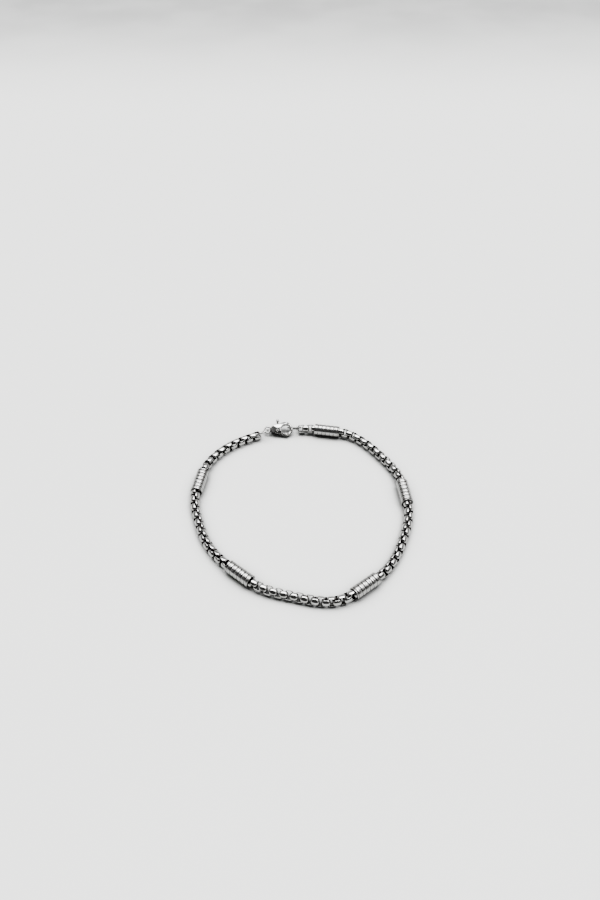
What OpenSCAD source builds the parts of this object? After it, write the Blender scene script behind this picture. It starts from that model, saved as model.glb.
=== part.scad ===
// Beaded bracelet: a round box chain that carries five grooved tube beads, closed by a lobster
// clasp on two jump rings. It lies flat in a loop on a surface at z = 0, with +Y away from the viewer.

/* [Chain] */
// Outside diameter of the chain
chain_d = 3.0; // [2.6:0.05:3.1]
// Outside length of one link along the chain
link_len = 2.64; // [2.62:0.01:2.66]
// Thickness of the strip that a link is bent from
link_t = 0.38; // [0.34:0.01:0.4]
// Width of the strip that a link is bent from
link_w = 1.7; // [1.5:0.05:1.75]
// Distance from one link to the next
link_pitch = 1.55; // [1.54:0.01:1.56]
// Size of the slope across a link's outside corner
link_corner = 0.5; // [0.45:0.05:0.6]

/* [Tube beads] */
// Outside diameter of a bead
bead_d = 4.0; // [3.8:0.05:4.4]
// Length of a bead
bead_len = 8.6; // [8:0.1:9.2]
// Bore of a bead, which the chain runs through
bead_bore = 3.3; // [3.25:0.05:3.4]
// Number of deep turned grooves round a bead
groove_count = 6; // [4:1:8]
// Width of a deep groove
groove_w = 0.42; // [0.3:0.01:0.5]
// Depth of a deep groove
groove_depth = 0.13; // [0.05:0.01:0.16]
// Share of the deep groove's size that the fine groove between two has
fine_groove = 0.6; // [0.3:0.05:0.8]

/* [Jump rings] */
// Outside diameter of a jump ring
ring_d = 5.2; // [5.1:0.05:5.3]
// Thickness of a jump ring's wire
ring_wire = 0.5; // [0.4:0.05:0.55]
// Lean of a jump ring from lying flat, in degrees
ring_lean = 50; // [48:1:52]

/* [Clasp] */
// Greatest thickness of the clasp
clasp_t = 2.8; // [2.6:0.05:2.9]
// Diameter of the middle line of the clasp's hook
hook_d = 4.3; // [4.2:0.05:4.4]
// Thickness of the hook's round bar
hook_bar = 0.96; // [0.86:0.02:1]
// Distance from the clasp's eye to the middle of its hook
hook_u = 6.2; // [6.1:0.05:6.3]
// Diameter of the middle line of the clasp's eye
eye_d = 2.2; // [2.15:0.05:2.3]
// Thickness of the eye's round bar
eye_bar = 0.56; // [0.5:0.02:0.6]
// Thickness of the lever inside the clasp
lever_t = 1.0; // [0.8:0.05:1.1]
// Diameter of the rivet that the lever turns on
pin_d = 0.9; // [0.7:0.05:1]
// How far the thumb knob stands from the clasp's middle line
knob_reach = 3.8; // [3.7:0.1:4.1]
// Lean of the clasp towards the viewer, in degrees
clasp_lean = 25; // [24:1:26]

/* [Hidden] */
$fn = 64;
eps = 0.01;
steel = [0.6, 0.6, 0.59];
satin = [0.56, 0.56, 0.55];

// The route of the chain's axis, counter-clockwise from the clasp's eye. A row is x, y, the heading
// in degrees there, and 1 where a tube bead is centred, which the chain runs straight through.
X = 0;
Y = 1;
HEADING = 2;
IS_BEAD = 3;
ROUTE = [
    [-14.23,  31.00, 205.0, 0],
    [-25.50,  24.57, 220.5, 0],
    [-33.30,   9.07, 260.0, 1],
    [-31.40,  -8.93, 286.5, 0],
    [-18.10, -26.23, 321.5, 1],
    [ -0.70, -33.88, 345.5, 0],
    [ 18.60, -30.33, 397.5, 1],
    [ 31.20, -13.73, 429.0, 0],
    [ 33.50,   4.47, 457.0, 1],
    [ 25.60,  22.87, 487.5, 0],
    [  9.10,  32.47, 531.0, 1],
    [ -1.20,  33.37, 546.0, 0]];
curve_steps = 16;

// The chain's turn about its own axis: distance along the chain, and degrees.
TWIST = [[0, -30], [8, 9], [10, 9], [38, -54], [48, -53], [57, -32], [64, -20], [77, 17], [85, 30], [94, 44],
         [100, 59], [105, 76], [118, 44], [130, 37], [140, 46], [160, 44], [171, 70], [178, 72], [200, 50]];

// The chain climbs from the surface into each bead over this length
climb = 9;

function aim(h) = [cos(h), sin(h)];
function flat(row) = [row[X], row[Y]];
function half_bead(row) = row[IS_BEAD] * bead_len / 2;
function way_in(row) = flat(row) - half_bead(row) * aim(row[HEADING]);
function way_out(row) = flat(row) + half_bead(row) * aim(row[HEADING]);

// A smooth curve from one row of the route to the next, with a circle's handle lengths
function handle(chord, turn) = turn < 1 ? chord / 3 : chord * 2 / 3 * tan(turn / 4) / sin(turn / 2);
function bend(a, b, t) = let (
    p0 = way_out(a),
    p3 = way_in(b),
    reach = handle(norm(p3 - p0), b[HEADING] - a[HEADING]),
    p1 = p0 + reach * aim(a[HEADING]),
    p2 = p3 - reach * aim(b[HEADING]))
    pow(1 - t, 3) * p0 + 3 * pow(1 - t, 2) * t * p1 + 3 * (1 - t) * t * t * p2 + pow(t, 3) * p3;
points = [for (i = [0 : len(ROUTE) - 2], k = [0 : curve_steps]) bend(ROUTE[i], ROUTE[i + 1], k / curve_steps)];
along = [for (i = 0, s = 0; i < len(points);
              i = i + 1, s = s + (i < len(points) ? norm(points[i] - points[i - 1]) : 0)) s];
route_len = along[len(along) - 1];
x_table = [for (i = [0 : len(points) - 1]) [along[i] + i * eps * eps, points[i][0]]];
y_table = [for (i = [0 : len(points) - 1]) [along[i] + i * eps * eps, points[i][1]]];

// Where each bead's middle lies along the chain: half a bead past the end of the curve before it
bead_rows = [for (i = [0 : len(ROUTE) - 1]) if (ROUTE[i][IS_BEAD] == 1) i];
bead_mids = [for (i = bead_rows) along[i * (curve_steps + 1) - 1] + bead_len / 2];

// Height of the axis: lying on the surface between beads, and at a bead's middle inside one
function ease(q) = q <= 0 ? 0 : q >= 1 ? 1 : q * q * (3 - 2 * q);
function nearest_bead(s) = min([for (m = bead_mids) abs(s - m)]) - bead_len / 2;
function axis_z(s) = chain_d / 2 + eps + ((bead_d - chain_d) / 2 - eps) * ease(1 - nearest_bead(s) / climb);
function at(s) = [lookup(s, x_table), lookup(s, y_table), axis_z(s)];

link_count = round((route_len - link_len) / link_pitch) + 1;
link_step = (route_len - link_len) / (link_count - 1);
function link_at(i) = link_len / 2 + i * link_step;

// Puts a thing that points along +X at a place along the chain, aimed the way the chain runs
module on_chain(s, reach) {
    d = at(min(s + reach, route_len)) - at(max(s - reach, 0));
    translate(at(s))
        rotate([0, -atan2(d[2], norm([d[0], d[1]])), atan2(d[1], d[0])])
            children();
}

// A rectangle whose corners are cut off
module cut_corners(w, h, cut) {
    x = w / 2;
    y = h / 2;
    polygon([[x - cut, y], [x, y - cut], [x, cut - y], [x - cut, -y],
             [cut - x, -y], [-x, cut - y], [-x, y - cut], [cut - x, y]]);
}

// A link is a strip bent into a box, its faces domed to the chain's round section
module link() {
    inner_corner = 0.15;
    end_dome = 1.5;
    intersection() {
        rotate([90, 0, 0])
            linear_extrude(link_w, center = true)
                difference() {
                    cut_corners(link_len, chain_d, link_corner);
                    cut_corners(link_len - 2 * link_t, chain_d - 2 * link_t, inner_corner);
                }
        rotate([0, 90, 0])
            cylinder(h = 2 * link_len, d = chain_d, center = true);
        linear_extrude(2 * chain_d, center = true)
            intersection() {
                translate([link_len / 2 - end_dome, 0])
                    circle(end_dome);
                translate([end_dome - link_len / 2, 0])
                    circle(end_dome);
            }
    }
}

module chain() {
    color(steel)
        for (i = [0 : link_count - 1])
            on_chain(link_at(i), link_pitch / 2)
                rotate([lookup(link_at(i), TWIST) + 90 * ((i + 1) % 2), 0, 0])
                    link();
}

// Deep grooves with a fine one half-way to the next, turned into a tube with eased rims
module tube_bead(k) {
    rim = 0.15;
    r = bead_d / 2;
    pitch = (bead_len - 2 * rim) / groove_count;
    row = ROUTE[bead_rows[k]];
    color(satin)
        translate([row[X], row[Y], r])
            rotate([0, 90, row[HEADING]])
                rotate_extrude()
                    difference() {
                        polygon([[bead_bore / 2, -bead_len / 2], [r - rim, -bead_len / 2],
                                 [r, rim - bead_len / 2], [r, bead_len / 2 - rim],
                                 [r - rim, bead_len / 2], [bead_bore / 2, bead_len / 2]]);
                        for (i = [0 : groove_count - 1]) {
                            z = -bead_len / 2 + rim + pitch * (i + 0.25);
                            translate([r, z])
                                groove(1);
                            translate([r, z + pitch / 2])
                                groove(fine_groove);
                        }
                    }
}

module groove(size) {
    polygon([[-groove_depth * size, 0], [eps, groove_w * size / 2], [eps, -groove_w * size / 2]]);
}

module tube_bead_1() { tube_bead(0); }
module tube_bead_2() { tube_bead(1); }
module tube_bead_3() { tube_bead(2); }
module tube_bead_4() { tube_bead(3); }
module tube_bead_5() { tube_bead(4); }

// The clasp's own frame: u from the eye to the nose, v towards the far side. It rests on its near edge,
// and its far edge is raised towards the viewer.
clasp_at = [-11.7, 33.07, 1.74];
clasp_turn = 1.3;

module in_clasp() {
    translate(clasp_at)
        rotate([clasp_lean, 0, clasp_turn])
            children();
}

// The rings stand leaning on the surface. A row is the ring's middle x and y, its turn, and its lean.
ring_mid_r = (ring_d - ring_wire) / 2;
EYE_RING = [-13.28, 31.79, 33.4, ring_lean - 4];
HOOK_RING = [-2.4, 33.81, 0, ring_lean];

module jump_ring(place) {
    color(steel)
        translate([place[0], place[1], ring_mid_r * sin(place[3]) + ring_wire / 2])
            rotate([-place[3], 0, place[2]])
                rotate_extrude()
                    translate([ring_mid_r, 0])
                        circle(d = ring_wire, $fn = 32);
}

module jump_ring_eye() { jump_ring(EYE_RING); }
module jump_ring_hook() { jump_ring(HOOK_RING); }

// The lever turns about the pivot. Its finger closes the hook between the cheeks and the hook's tip.
pivot = [3.5, -0.6];
hub_r = 1.05;
cheek_r = 1.5;
tip_r = 3.0;
clear = 0.1;
hook_outer = (hook_d + hook_bar) / 2;
hook_inner = (hook_d - hook_bar) / 2;

module at_hook() {
    translate([hook_u, 0])
        children();
}

module at_pivot() {
    translate(pivot)
        children();
}

// A teardrop: a small circle behind, a large one in front, and the two sides that touch both
module teardrop() {
    back_u = 2.3;
    back_r = 1.25;
    front_r = hook_outer - 0.03;
    lean = acos((front_r - back_r) / (hook_u - back_u));
    far_side = [-cos(lean), sin(lean)];
    near_side = [-cos(lean), -sin(lean)];
    at_hook() circle(front_r);
    translate([back_u, 0])
        circle(back_r);
    polygon([[back_u, 0] + back_r * far_side, [hook_u, 0] + front_r * far_side,
             [hook_u, 0] + front_r * near_side, [back_u, 0] + back_r * near_side]);
}

// A long pillow that two big cylinders share, lying along v
module lens(r) {
    size = 20;
    intersection() {
        translate([0, 0, clasp_t / 2 - r])
            rotate([90, 0, 0])
                cylinder(h = size, r = r, center = true, $fn = 128);
        translate([0, 0, r - clasp_t / 2])
            rotate([90, 0, 0])
                cylinder(h = size, r = r, center = true, $fn = 128);
    }
}

// The pebble that domes the clasp's faces: thickest near the rivet, thin at both ends
module pebble() {
    across_r = 5;
    along_r = 8.5;
    middle_u = 3.6;
    translate([middle_u, 0])
        intersection() {
            lens(along_r);
            rotate(90)
                lens(across_r);
        }
}

// The side in front of the pivot and nearest the viewer, where the hook opens
module mouth_side(start) {
    translate([start, pivot[1] - 4])
        square([4, 4]);
}

module ring_bar(middle_d, bar_d) {
    rotate_extrude()
        translate([middle_d / 2, 0])
            circle(d = bar_d, $fn = 32);
}

module clasp_body() {
    slot_h = lever_t + 2 * 0.05;
    color(steel)
        in_clasp()
            difference() {
                union() {
                    intersection() {
                        pebble();
                        linear_extrude(2 * clasp_t, center = true)
                            difference() {
                                teardrop();
                                at_hook() circle(hook_inner + 0.03);
                            }
                    }
                    at_hook() ring_bar(hook_d, hook_bar);
                    ring_bar(eye_d, eye_bar);
                }
                linear_extrude(2 * clasp_t, center = true) {
                    intersection() {
                        difference() {
                            at_pivot() circle(tip_r);
                            at_pivot() circle(cheek_r);
                        }
                        mouth_side(pivot[0] - clear);
                    }
                    at_pivot() circle(d = pin_d + 0.04);
                }
                linear_extrude(slot_h, center = true) {
                    at_pivot() circle(hub_r + clear);
                    intersection() {
                        at_pivot() circle(cheek_r + clear);
                        mouth_side(pivot[0] - clear);
                    }
                    polygon([pivot + [-0.9, 0], pivot + [0.6, 0], [3.9, 4], [0.9, 4]]);
                }
            }
}

// Hub, thumb knob, and the finger that closes the hook
module clasp_lever() {
    knob_r = 0.5;
    stem_w = 0.75;
    knob = [3.5, knob_reach - knob_r, 0];
    color(steel)
        in_clasp()
            difference() {
                union() {
                    linear_extrude(lever_t, center = true) {
                        at_pivot() circle(hub_r);
                        intersection() {
                            at_hook()
                                difference() {
                                    circle(hook_outer - 0.05);
                                    circle(hook_inner + 0.05);
                                }
                            at_pivot() circle(tip_r - 0.12);
                            mouth_side(pivot[0] + 0.05);
                        }
                        translate([knob[0] - stem_w / 2, pivot[1]])
                            square([stem_w, knob[1] - pivot[1]]);
                    }
                    translate(knob)
                        sphere(knob_r + 0.1);
                }
                translate([pivot[0], pivot[1], 0])
                    cylinder(h = 2 * clasp_t, d = pin_d + 0.1, center = true);
            }
}

module clasp_pin() {
    color(steel)
        in_clasp()
            translate([pivot[0], pivot[1], 0])
                cylinder(h = clasp_t - 0.1, d = pin_d, center = true);
}

chain();
tube_bead_1();
tube_bead_2();
tube_bead_3();
tube_bead_4();
tube_bead_5();
jump_ring_eye();
jump_ring_hook();
clasp_body();
clasp_lever();
clasp_pin();
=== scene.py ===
"""Looks for the beaded bracelet: box chain, grooved tube beads, jump rings and lobster clasp."""
import math

import bmesh
import bpy
import numpy as np
from mathutils import Matrix, Vector


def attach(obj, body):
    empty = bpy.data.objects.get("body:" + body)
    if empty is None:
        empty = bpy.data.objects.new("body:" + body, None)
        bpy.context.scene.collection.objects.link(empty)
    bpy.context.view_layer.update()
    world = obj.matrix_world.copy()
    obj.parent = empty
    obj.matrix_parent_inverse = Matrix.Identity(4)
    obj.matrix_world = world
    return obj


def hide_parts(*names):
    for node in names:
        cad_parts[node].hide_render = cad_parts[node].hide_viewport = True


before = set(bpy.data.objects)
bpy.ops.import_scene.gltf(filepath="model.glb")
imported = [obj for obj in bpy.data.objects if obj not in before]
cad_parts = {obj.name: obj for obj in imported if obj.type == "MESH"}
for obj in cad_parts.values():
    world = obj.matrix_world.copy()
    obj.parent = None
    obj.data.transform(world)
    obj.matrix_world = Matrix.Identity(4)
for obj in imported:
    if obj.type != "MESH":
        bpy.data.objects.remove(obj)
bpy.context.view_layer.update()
MM = 0.001


# Sizes in millimetres, as the solids have them

CHAIN_D, LINK_LEN, LINK_T, LINK_W, LINK_PITCH = 3.0, 2.64, 0.38, 1.7, 1.55
CHAIN_LIFT = 0.01       # the chain's height off the table, away from the beads
CLIMB = 9.0             # the length over which the chain rises to the middle of a bead
BEAD_D, BEAD_LEN, BEAD_BORE, BEAD_RIM = 4.0, 8.6, 3.3, 0.15
GROOVES = 6
GROOVE_PITCH = (BEAD_LEN - 2 * BEAD_RIM) / GROOVES
GROOVE_LEAD = 0.25      # pitches from the rim to the first deep groove
RING_D, RING_WIRE = 5.2, 0.5

# The route of the chain: x, y, heading in degrees, and 1 where a bead is centred
ROUTE = [
    (-14.23, 31.0, 205.0, 0), (-25.5, 24.57, 220.5, 0), (-33.3, 9.07, 260.0, 1), (-31.4, -8.93, 286.5, 0),
    (-18.1, -26.23, 321.5, 1), (-0.7, -33.88, 345.5, 0), (18.6, -30.33, 397.5, 1), (31.2, -13.73, 429.0, 0),
    (33.5, 4.47, 457.0, 1), (25.6, 22.87, 487.5, 0), (9.1, 32.47, 531.0, 1), (-1.2, 33.37, 546.0, 0)]

# How far the chain is twisted: length along it, and degrees
TWIST = [
    (0, -30), (8, 9), (10, 9), (38, -54), (48, -53), (57, -32), (64, -20), (77, 17), (85, 30), (94, 44),
    (100, 59), (105, 76), (118, 44), (130, 37), (140, 46), (160, 44), (171, 70), (178, 72), (200, 50)]

# The rings: middle x and y, turn and lean in degrees, and the angle of the butt joint
RINGS = {"jump_ring_eye": (-13.28, 31.79, 33.4, 46.0, 4.6), "jump_ring_hook": (-2.4, 33.81, 0.0, 50.0, 5.1)}


# Shader maths

class Level:
    """A node's output, which Python's operators turn into Math nodes."""

    def __init__(self, finish, socket):
        self.finish = finish
        self.socket = socket

    def math(self, operation, *others):
        return self.finish.maths(operation, self, *others)

    def __add__(self, other):
        return self.math("ADD", other)

    def __sub__(self, other):
        return self.math("SUBTRACT", other)

    def __rsub__(self, other):
        return self.finish.maths("SUBTRACT", other, self)

    def __mul__(self, other):
        return self.math("MULTIPLY", other)

    def __truediv__(self, other):
        return self.math("DIVIDE", other)

    def __rtruediv__(self, other):
        return self.finish.maths("DIVIDE", other, self)

    __radd__ = __add__
    __rmul__ = __mul__

    def eased(self, low, high, start=0.0, end=1.0):
        """Runs smoothly from start to end as this goes from low to high."""
        return self.finish.node("ShaderNodeMapRange", {"interpolation_type": "SMOOTHSTEP"}, {
            "Value": self, "From Min": low, "From Max": high, "To Min": start, "To Max": end})


class Finish:
    """The nodes of one finish, on a material or on the world."""

    # A Mix node's sockets for colours, which share their names with those for numbers
    MIX_FACTOR, MIX_FIRST, MIX_SECOND, MIX_RESULT = 0, 6, 7, 2

    def __init__(self, owner):
        owner.use_nodes = True
        self.tree = owner.node_tree
        self.tree.nodes.clear()

    def node(self, kind, settings=None, sockets=None, output=0):
        """Adds a node: its settings first, then its sockets' values or links."""
        made = self.tree.nodes.new(kind)
        for key, value in (settings or {}).items():
            setattr(made, key, value)
        for key, value in (sockets or {}).items():
            if isinstance(value, Level):
                self.tree.links.new(value.socket, made.inputs[key])
            else:
                made.inputs[key].default_value = value
        return Level(self, made.outputs[output]) if made.outputs else None

    def maths(self, operation, *terms):
        return self.node("ShaderNodeMath", {"operation": operation}, dict(enumerate(terms)))

    def place(self, output="Object"):
        return self.node("ShaderNodeTexCoord", output=output)

    def part_of(self, vector, axis):
        return self.node("ShaderNodeSeparateXYZ", {}, {0: vector}, output=axis)

    def noise(self, size, detail=2.0, roughness=0.5, vector=None):
        """Noise whose grains are about size metres wide, from 0 to 1."""
        return self.node("ShaderNodeTexNoise", {}, {
            "Vector": vector or self.place(), "Scale": 1.0 / size, "Detail": detail, "Roughness": roughness})

    def openness(self, reach):
        """Near 1 in the open, and less where other faces stand closer than reach metres."""
        return self.node("ShaderNodeAmbientOcclusion", {"samples": 8}, {"Distance": reach}, output="AO")

    def mixed(self, factor, first, second):
        """The colour between two colours."""
        first, second = ((*c, 1.0) if isinstance(c, tuple) else c for c in (first, second))
        return self.node("ShaderNodeMix", {"data_type": "RGBA"}, {
            self.MIX_FACTOR: factor, self.MIX_FIRST: first, self.MIX_SECOND: second}, output=self.MIX_RESULT)

    def bumped(self, height, distance, strength, under=None):
        """A normal from a height, on top of the one under it."""
        sockets = {"Height": height, "Distance": distance, "Strength": strength}
        if under:
            sockets["Normal"] = under
        return self.node("ShaderNodeBump", {}, sockets)

    def shaded(self, sockets):
        surface = self.node("ShaderNodeBsdfPrincipled", {}, sockets)
        self.node("ShaderNodeOutputMaterial", {}, {"Surface": surface})


def darker(colour, share):
    return tuple(share * part for part in colour)


# Finishes

# Near black painted shade for the gaps between parts and the sides that face the table
PAINTED_SHADE = (0.010, 0.009, 0.008)
# Dark painted shade for the bead's grooves
GROOVE_SHADE = (0.03, 0.03, 0.028)
BRIGHT_LINK, WORN_LINK = (0.33, 0.33, 0.325), (0.27, 0.266, 0.257)
BRIGHT_BEAD, WORN_BEAD = (0.35, 0.35, 0.345), (0.29, 0.286, 0.277)
WORN_WIRE = (0.28, 0.276, 0.267)
# The table's own pale colour, and the darker painted shade it falls to far behind
TABLE_NEAR, TABLE_FAR_SHADE = (0.60, 0.605, 0.595), (0.22, 0.222, 0.22)
HAZE, SPECKS, HAIRS = 2.2 * MM, 0.12 * MM, 0.9 * MM
HAIR_TURN, HAIR_STRETCH = (0.4, 0.3, 0.9), (1.0, 9.0, 9.0)
MARK_DEPTH, TOOL_MARK_DEPTH = 0.004 * MM, 0.0025 * MM
TOOL_MARKS = 58.0       # the turning tool's fine rings, in radians a millimetre
CLOUDS, GRAIN, GRAIN_DEPTH = 60 * MM, 0.8 * MM, 0.01 * MM
# How far the painted contact shadow on the table reaches round the bracelet
CONTACT_SHADE = 5.0 * MM


def polished_steel(name, bright, worn, gloss, scratch=0.4, reach=1.3, turned=False):
    """Polished steel: haze and hairlines, and painted shade that darkens it towards near black where faces
    stand closer than reach millimetres.
    """
    material = bpy.data.materials.new(name)
    finish = Finish(material)
    hair_lie = finish.node("ShaderNodeMapping", {}, {
        "Vector": finish.place(), "Rotation": HAIR_TURN, "Scale": HAIR_STRETCH})
    hairs = finish.noise(HAIRS, detail=3.0, roughness=0.6, vector=hair_lie)
    specks = finish.noise(SPECKS)
    haze = finish.noise(HAZE, detail=4.0)
    # Painted shade: the colour darkens where other faces or the table stand within reach, in the gaps, under
    # the links and on the lower flanks
    unshaded_share = finish.openness(reach * MM).eased(0.45, 0.95)
    steel = finish.mixed(haze.eased(0.35, 0.7), bright, worn)
    colour = finish.mixed(unshaded_share, PAINTED_SHADE, steel)
    rough = gloss + haze.eased(0.3, 0.8) * 0.05 + hairs.eased(0.55, 0.75) * 0.06 + (1.0 - unshaded_share) * 0.15
    normal = finish.bumped(specks * 0.5 + hairs * scratch, MARK_DEPTH, 0.35)
    if turned:
        along = finish.part_of(finish.place(), "Z") / MM
        from_rim = along + (BEAD_LEN / 2 - BEAD_RIM)
        turns = from_rim * (2 * math.pi / GROOVE_PITCH) - 2 * math.pi * GROOVE_LEAD
        deep, fine = (angle.math("COSINE").eased(0.2, 0.85) for angle in (turns, turns * 2.0))
        # Painted shade: the deep and fine grooves darken towards this colour
        colour = finish.mixed(deep * 0.3 + fine * 0.35, colour, GROOVE_SHADE)
        marks = (along * TOOL_MARKS + haze * 2.0).math("SINE")
        normal = finish.bumped(marks, TOOL_MARK_DEPTH, 0.9, under=normal)
        rough = rough + marks.eased(-1.0, 1.0) * 0.04
    finish.shaded({"Base Color": colour, "Metallic": 1.0, "Roughness": rough, "Normal": normal})
    return material


def pale_table(name, near, far):
    """A plain pale surface, with painted shade that darkens it far behind the bracelet and a painted contact
    shadow right under it.
    """
    material = bpy.data.materials.new(name)
    finish = Finish(material)
    place = finish.place()
    cloud = finish.noise(CLOUDS, vector=place)
    grain = finish.noise(GRAIN, vector=place)
    # Painted shade: the table darkens far behind the bracelet, as if the light fell off
    painted_falloff = finish.mixed(finish.part_of(place, "Y").eased(0.3, 0.54), near, far)
    clouded = finish.mixed(cloud.eased(0.3, 0.7) * 0.15, painted_falloff, darker(near, 0.96))
    # Painted contact shadow: the table darkens to a third of its colour where the bracelet stands close
    contact_shadowed = finish.mixed(finish.openness(CONTACT_SHADE).eased(0.4, 1.0), darker(near, 0.3), clouded)
    finish.shaded({"Base Color": contact_shadowed, "Roughness": 0.6 + cloud * 0.1,
                   "Normal": finish.bumped(grain, GRAIN_DEPTH, 0.2), "Specular IOR Level": 0.25})
    return material


# One finish for each material slot of the record
STEEL = {
    "chain_steel": polished_steel("polished_chain", BRIGHT_LINK, WORN_LINK, 0.05),
    "bead_steel": polished_steel("turned_bead", BRIGHT_BEAD, WORN_BEAD, 0.12, reach=3.0, turned=True),
    "ring_steel": polished_steel("drawn_wire", BRIGHT_LINK, WORN_WIRE, 0.10, scratch=0.2, reach=2.5),
    "clasp_steel": polished_steel("polished_clasp", BRIGHT_LINK, WORN_LINK, 0.05, reach=2.5)}


# Meshes

def shown(name, data):
    """An object of the scene."""
    made = bpy.data.objects.new(name, data)
    bpy.context.scene.collection.objects.link(made)
    return made


def piece(name, mesh, slot, node, body="bracelet", place=Matrix()):
    """Stands a finished mesh in for a solid of the frame."""
    made = shown(name, mesh)
    made.matrix_world = place
    mesh.materials.clear()
    mesh.materials.append(STEEL[slot])
    for face in mesh.polygons:
        face.use_smooth = True
    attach(made, body)
    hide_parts(node)


def meshed(name, points, faces):
    mesh = bpy.data.meshes.new(name)
    mesh.from_pydata(points.tolist(), [], faces.tolist())
    return mesh


def loop_faces(rows, count):
    """The faces of a closed tube: rows of closed sections, and the last row meets the first."""
    i, j = np.meshgrid(np.arange(rows), np.arange(count), indexing="ij")
    here, there = i * count, (i + 1) % rows * count
    beside = (j + 1) % count
    return np.stack([here + j, here + beside, there + beside, there + j], axis=-1).reshape(-1, 4)


def tube_loop(name, rings):
    """A closed tube over rings of points in millimetres, with its faces turned outwards."""
    mesh = meshed(name, np.concatenate(rings) * MM, loop_faces(len(rings), len(rings[0])))
    cage = bmesh.new()
    cage.from_mesh(mesh)
    bmesh.ops.recalc_face_normals(cage, faces=cage.faces)
    cage.to_mesh(mesh)
    cage.free()
    return mesh


def round_steps(count):
    return np.linspace(0, 2 * math.pi, count, endpoint=False)


# Chain

CURVE_STEPS = 16
LINK_EDGE, LINK_INNER_EDGE = 0.05, 0.03
LINK_CORNER, LINK_INNER_CORNER = 0.75, 0.3
LINK_CORNER_STEPS, LINK_DOME_STEPS = 7, 7


def aim(heading):
    angle = math.radians(heading)
    return np.array([math.cos(angle), math.sin(angle)])


def route_points():
    """Points of the chain's line, seen from above, and the number of the point where each bead starts."""
    ways = []
    for x, y, heading, beaded in ROUTE:
        half_bead = beaded * BEAD_LEN / 2 * aim(heading)
        way_in, way_out = (x, y) - half_bead, (x, y) + half_bead
        ways.append((way_in, way_out, heading, beaded))
    points, bead_starts = [], []
    t = np.linspace(0, 1, CURVE_STEPS + 1)[:, None]
    for (_, start, heading, _), (end, _, next_heading, beaded) in zip(ways, ways[1:]):
        turn = math.radians(next_heading - heading)
        # Handles of this length give a round arc where the two headings allow one
        reach = np.linalg.norm(end - start) * 2 / 3 * math.tan(turn / 4) / math.sin(turn / 2)
        first, last = start + reach * aim(heading), end - reach * aim(next_heading)
        points.append((1 - t) ** 3 * start + 3 * (1 - t) ** 2 * t * first
                      + 3 * (1 - t) * t ** 2 * last + t ** 3 * end)
        if beaded:
            bead_starts.append(len(points) * (CURVE_STEPS + 1) - 1)
    return np.concatenate(points), bead_starts


POINTS, BEAD_STARTS = route_points()
ALONG = np.concatenate([[0], np.cumsum(np.linalg.norm(np.diff(POINTS, axis=0), axis=1))])
BEAD_MIDS = ALONG[BEAD_STARTS] + BEAD_LEN / 2


def at(s):
    """The chain's axis at a length along it."""
    off_bead = np.abs(BEAD_MIDS - s).min() - BEAD_LEN / 2
    q = min(max(1 - off_bead / CLIMB, 0), 1)
    lift = CHAIN_LIFT + ((BEAD_D - CHAIN_D) / 2 - CHAIN_LIFT) * q * q * (3 - 2 * q)
    return Vector((np.interp(s, ALONG, POINTS[:, 0]), np.interp(s, ALONG, POINTS[:, 1]), CHAIN_D / 2 + lift))


def axes_along(direction, turn=0.0):
    """A turn that takes +X to a direction, after a turn of some degrees about +X."""
    heading = math.atan2(direction.y, direction.x)
    slope = -math.atan2(direction.z, math.hypot(direction.x, direction.y))
    return (Matrix.Rotation(heading, 3, "Z") @ Matrix.Rotation(slope, 3, "Y")
            @ Matrix.Rotation(math.radians(turn), 3, "X"))


def link_rings():
    """One link as sections round its loop: a thin strip with eased edges, domed outside."""
    half_w, bevel = LINK_W / 2, 0.3 * LINK_EDGE
    inner_flat, flat = half_w - LINK_INNER_EDGE, half_w - LINK_EDGE
    outside = [(y, 0.0) for y in np.linspace(-flat, flat, LINK_DOME_STEPS)]
    outside += [(half_w - bevel, bevel), (half_w, LINK_EDGE)]
    inside = [(half_w, LINK_INNER_EDGE), (inner_flat, 0.0), (0.0, 0.0), (-inner_flat, 0.0),
              (-half_w, LINK_INNER_EDGE)]
    last_edge = [(-half_w, LINK_EDGE), (bevel - half_w, bevel)]

    def outer(y, eased):
        dome = math.sqrt((CHAIN_D / 2) ** 2 - y ** 2)
        return (LINK_LEN - CHAIN_D) / 2 + dome - eased, dome - eased, LINK_CORNER - eased

    def inner(eased):
        return LINK_LEN / 2 - LINK_T + eased, CHAIN_D / 2 - LINK_T + eased, LINK_INNER_CORNER + eased

    section = [(y, *outer(y, eased)) for y, eased in outside]
    section += [(y, *inner(eased)) for y, eased in inside]
    section += [(y, *outer(y, eased)) for y, eased in last_edge]
    rings = []
    for corner, (sx, sz) in enumerate(((1, 1), (-1, 1), (-1, -1), (1, -1))):
        for bend in np.linspace(0, 90, LINK_CORNER_STEPS):
            across, up = aim(bend + 90 * corner)
            rings.append(np.array([(sx * (long - r) + r * across, y, sz * (tall - r) + r * up)
                                   for y, long, tall, r in section]))
    return rings


def chain_mesh():
    """Every link of the chain in one mesh, each a quarter turn from the last."""
    rings = link_rings()
    corners, faces = np.concatenate(rings), loop_faces(len(rings), len(rings[0]))
    length = ALONG[-1]
    count = round((length - LINK_LEN) / LINK_PITCH) + 1
    step = (length - LINK_LEN) / (count - 1)
    lengths, degrees = zip(*TWIST)
    all_points, all_faces = [], []
    for i in range(count):
        s = LINK_LEN / 2 + i * step
        direction = at(min(s + LINK_PITCH / 2, length)) - at(max(s - LINK_PITCH / 2, 0))
        turn = np.interp(s, lengths, degrees) + 90 * ((i + 1) % 2)
        axes = np.array(axes_along(direction, turn))
        all_points.append((corners @ axes.T + np.array(at(s))) * MM)
        all_faces.append(faces + i * len(corners))
    return meshed("chain_links", np.concatenate(all_points), np.concatenate(all_faces))


# Beads

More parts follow.
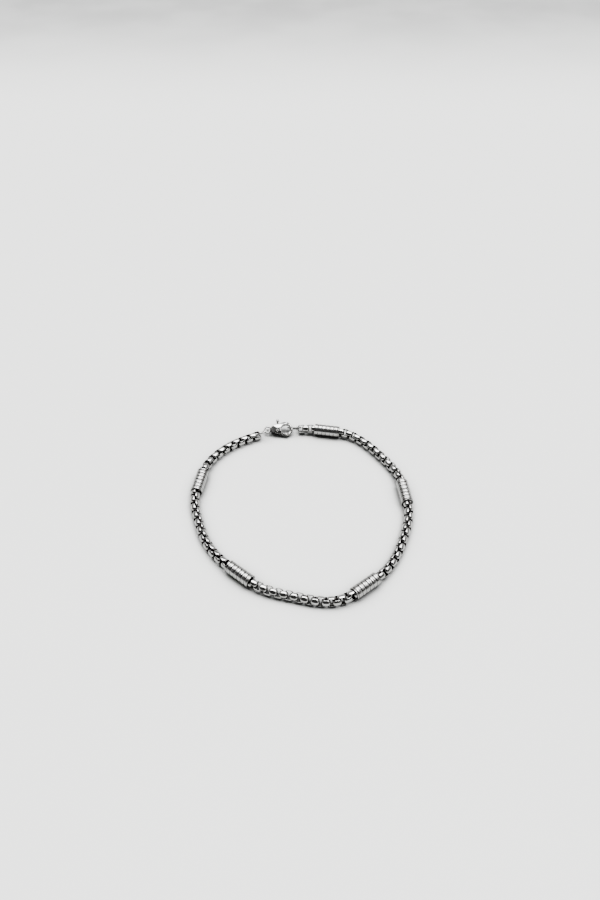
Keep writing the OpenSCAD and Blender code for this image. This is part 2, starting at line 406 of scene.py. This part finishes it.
BEAD_SIDES, BEAD_STEPS, RIM_STEPS = 96, 240, 5
BORE_EDGE = 0.05
RIM_FROM, RIM_TO = 1.3, 0.1     # the part of the rim's quarter circle that is built, in radians
SWELL = 0.06            # the soft wave between the crests and the deep grooves
FLARE = 1.3             # 1 for straight groove walls, and more for walls that round over at the top
# Where the lines lie within a pitch, their half width and their depth: deep, faint, fine, faint
GROOVE_LINES = [(0.0, 0.24, 0.13), (0.25, 0.07, 0.02), (0.5, 0.16, 0.07), (0.75, 0.07, 0.02)]


def bead_radius(z):
    turns = (z + BEAD_LEN / 2 - BEAD_RIM) / GROOVE_PITCH - GROOVE_LEAD
    depth = SWELL * (0.5 + 0.5 * math.cos(2 * math.pi * turns))
    for shift, width, sunk in GROOVE_LINES:
        off = abs((turns - shift + 0.5) % 1 - 0.5) * GROOVE_PITCH / width
        depth += sunk * max(0.0, 1 - off) ** FLARE
    return BEAD_D / 2 - depth


def bead_mesh():
    """A tube with six deep turned grooves, six fine ones, soft crests and eased rims."""
    outer, inner, half = BEAD_D / 2, BEAD_BORE / 2, BEAD_LEN / 2
    wall = [(bead_radius(z), z) for z in np.linspace(BEAD_RIM - half, half - BEAD_RIM, BEAD_STEPS)]
    round_off = [(outer - BEAD_RIM * (1 - math.sin(a)), half - BEAD_RIM * (1 - math.cos(a)))
                 for a in np.linspace(RIM_FROM, RIM_TO, RIM_STEPS)]
    profile = wall + round_off + [(inner + BORE_EDGE, half), (inner, half - BORE_EDGE)]
    profile += [(inner, BORE_EDGE - half), (inner + BORE_EDGE, -half)]
    profile += [(r, -z) for r, z in reversed(round_off)]
    return tube_loop("tube_bead", [
        np.array([(r * math.cos(angle), r * math.sin(angle), z) for r, z in profile])
        for angle in round_steps(BEAD_SIDES)])


# Rings and clasp

RING_STEPS, WIRE_SIDES = 120, 20
SEAM_DEPTH, SEAM_REACH = 0.05, 0.09


def ring_mesh(middle, seam):
    """A wire ring with the fine butt joint where it was closed."""
    sides = round_steps(WIRE_SIDES)
    rings = []
    for angle in round_steps(RING_STEPS):
        off = abs((angle - seam + math.pi) % (2 * math.pi) - math.pi) * middle
        r = RING_WIRE / 2 - SEAM_DEPTH * max(0.0, 1 - off / SEAM_REACH)
        out = middle + r * np.cos(sides)
        rings.append(np.stack([out * math.cos(angle), out * math.sin(angle), r * np.sin(sides)], axis=-1))
    return tube_loop("jump_ring", rings)


def eased_copy(node, voxel, rounds):
    """The solid of a node with its sharp edges polished round, from voxels of a size in millimetres."""
    copy = shown("eased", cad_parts[node].data.copy())
    remesh = copy.modifiers.new("remesh", "REMESH")
    remesh.mode = "VOXEL"
    remesh.voxel_size = voxel * MM
    smooth = copy.modifiers.new("smooth", "SMOOTH")
    smooth.factor = 0.5
    smooth.iterations = rounds
    depsgraph = bpy.context.evaluated_depsgraph_get()
    mesh = bpy.data.meshes.new_from_object(copy.evaluated_get(depsgraph))
    bpy.data.objects.remove(copy)
    return mesh


# Pieces

piece("chain_links", chain_mesh(), "chain_steel", "chain")

beads = [(x, y, heading) for x, y, heading, beaded in ROUTE if beaded]
for number, (x, y, heading) in enumerate(beads, 1):
    axes = axes_along(Vector((*aim(heading), 0))) @ Matrix.Rotation(math.pi / 2, 3, "Y")
    place = Matrix.Translation(Vector((x, y, BEAD_D / 2)) * MM) @ axes.to_4x4()
    piece(f"bead_{number}", bead_mesh(), "bead_steel", f"tube_bead_{number}", place=place)

for node, (x, y, turn, lean, seam) in RINGS.items():
    middle = (RING_D - RING_WIRE) / 2
    z = middle * math.sin(math.radians(lean)) + RING_WIRE / 2
    place = (Matrix.Translation(Vector((x, y, z)) * MM) @ Matrix.Rotation(math.radians(turn), 4, "Z")
             @ Matrix.Rotation(math.radians(-lean), 4, "X"))
    piece(node.replace("jump_ring", "wire_ring"), ring_mesh(middle, seam), "ring_steel", node, place=place)

piece("clasp_shell", eased_copy("clasp_body", voxel=0.05, rounds=6), "clasp_steel", "clasp_body")
piece("clasp_trigger", eased_copy("clasp_lever", voxel=0.05, rounds=4), "clasp_steel", "clasp_lever",
      body="lever")
piece("clasp_rivet", eased_copy("clasp_pin", voxel=0.04, rounds=4), "ring_steel", "clasp_pin")


# Studio

TABLE_LEFT, TABLE_RIGHT, TABLE_FRONT, TABLE_BACK = -1.5, 1.5, -1.0, 2.5
LENS, SENSOR = 28.0, 36.0
CAMERA_PLACE = (-0.38, -138.62, 178.6)
CAMERA_TILT = 42.5      # degrees up from looking straight down
PANEL_GLOW = 28.0

table = meshed("table", np.array([
    (TABLE_LEFT, TABLE_FRONT, 0), (TABLE_RIGHT, TABLE_FRONT, 0),
    (TABLE_RIGHT, TABLE_BACK, 0), (TABLE_LEFT, TABLE_BACK, 0)]), np.array([(0, 1, 2, 3)]))
table.materials.append(pale_table("pale_table", TABLE_NEAR, TABLE_FAR_SHADE))
shown("table_top", table)

camera = bpy.data.cameras.new("camera")
camera.lens = LENS
camera.sensor_width = SENSOR
camera.clip_start = 0.01
view = shown("camera", camera)
view.location = Vector(CAMERA_PLACE) * MM
view.rotation_euler = (math.radians(CAMERA_TILT), 0, 0)
bpy.context.scene.camera = view


def light_room(room):
    """A bright ceiling panel a little behind the bracelet, in a grey room that is darkest in front."""
    sky = Finish(room)
    way = sky.place("Generated")
    east, north, up = (sky.part_of(way, axis) for axis in "XYZ")
    # Where each way meets the ceiling, in ceiling heights to the right and behind
    height = up.math("MAXIMUM", 0.05)
    right, behind = east / height - 0.05, north / height
    # The panel reaches further forward towards the right
    front = behind + right.math("MAXIMUM", 0.0) * 0.5
    sides = right.math("ABSOLUTE").eased(0.4, 0.85, 1.0, 0.0)
    panel = sides * front.eased(-0.04, 0.18) * behind.eased(0.3, 0.9, 1.0, 0.0) * up.eased(0.1, 0.3)
    walls = north.eased(-0.35, 0.35, 0.08, 0.60) + north.eased(0.5, 0.95) * 0.3
    right_light = east.eased(0.25, 0.7) * up.eased(0.45, 0.68) * 0.8
    # Low light from all sides except the left
    apron = up.eased(0.08, 0.2, 1.0, 0.0) * east.eased(-0.7, -0.4) * 0.6
    background = sky.node("ShaderNodeBackground", {}, {
        "Color": (1.0, 1.0, 1.0, 1.0), "Strength": panel * PANEL_GLOW + walls + right_light + apron})
    sky.node("ShaderNodeOutputWorld", {}, {"Surface": background})


room = bpy.data.worlds.new("studio")
bpy.context.scene.world = room
light_room(room)
